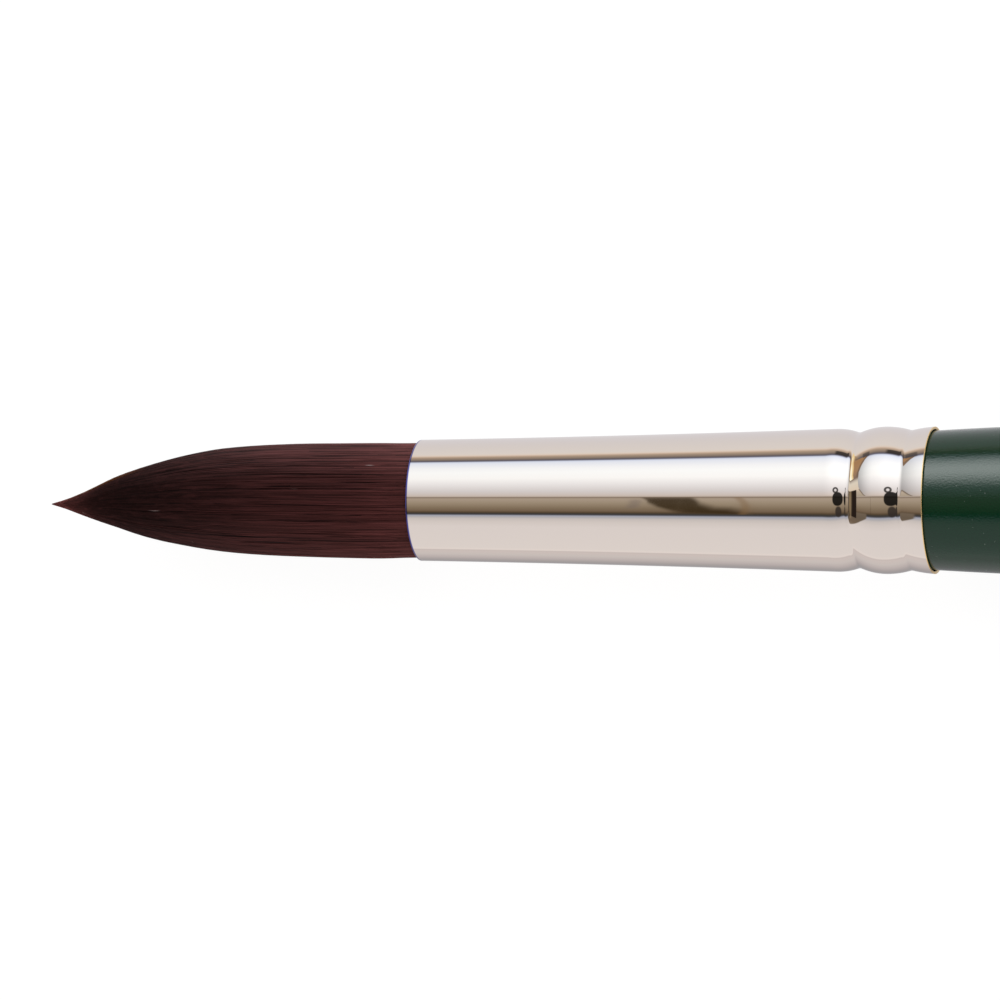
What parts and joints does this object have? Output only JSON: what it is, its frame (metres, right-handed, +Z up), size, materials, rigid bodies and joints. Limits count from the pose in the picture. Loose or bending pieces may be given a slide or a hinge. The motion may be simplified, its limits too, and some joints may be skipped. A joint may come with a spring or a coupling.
{
  "type": "artists' paint brush",
  "caption": "Long-handled round artists' brush: pointed dark synthetic tuft, tapered nickel ferrule crimped on a lacquered turned handle.",
  "frame": {"origin": "on the brush's axis, in the middle of the straight stretch of the grip", "axes": "+X along the brush from point to tail, +Z up as it lies on a table, +Y to its left seen from the point"},
  "size_m": [0.3289, 0.0164, 0.0162],
  "materials": {
    "lacquered_wood": "gloss dark green lacquer on turned hardwood, bare on the tenon",
    "nickel_plate": "bright nickel plate on thin drawn brass tube",
    "filament": "dark red-brown tapered nylon filaments, satin",
    "thread": "undyed binding thread",
    "resin": "cured amber epoxy",
    "glue": "cured wood glue film"
  },
  "bodies": {
    "root": {"handle": "lacquered_wood", "ferrule": "nickel_plate", "core_filaments": "filament", "belly_filaments": "filament", "outer_filaments": "filament", "tie_thread": "thread", "root_resin": "resin", "tenon_glue": "glue"}
  },
  "joints": []
}
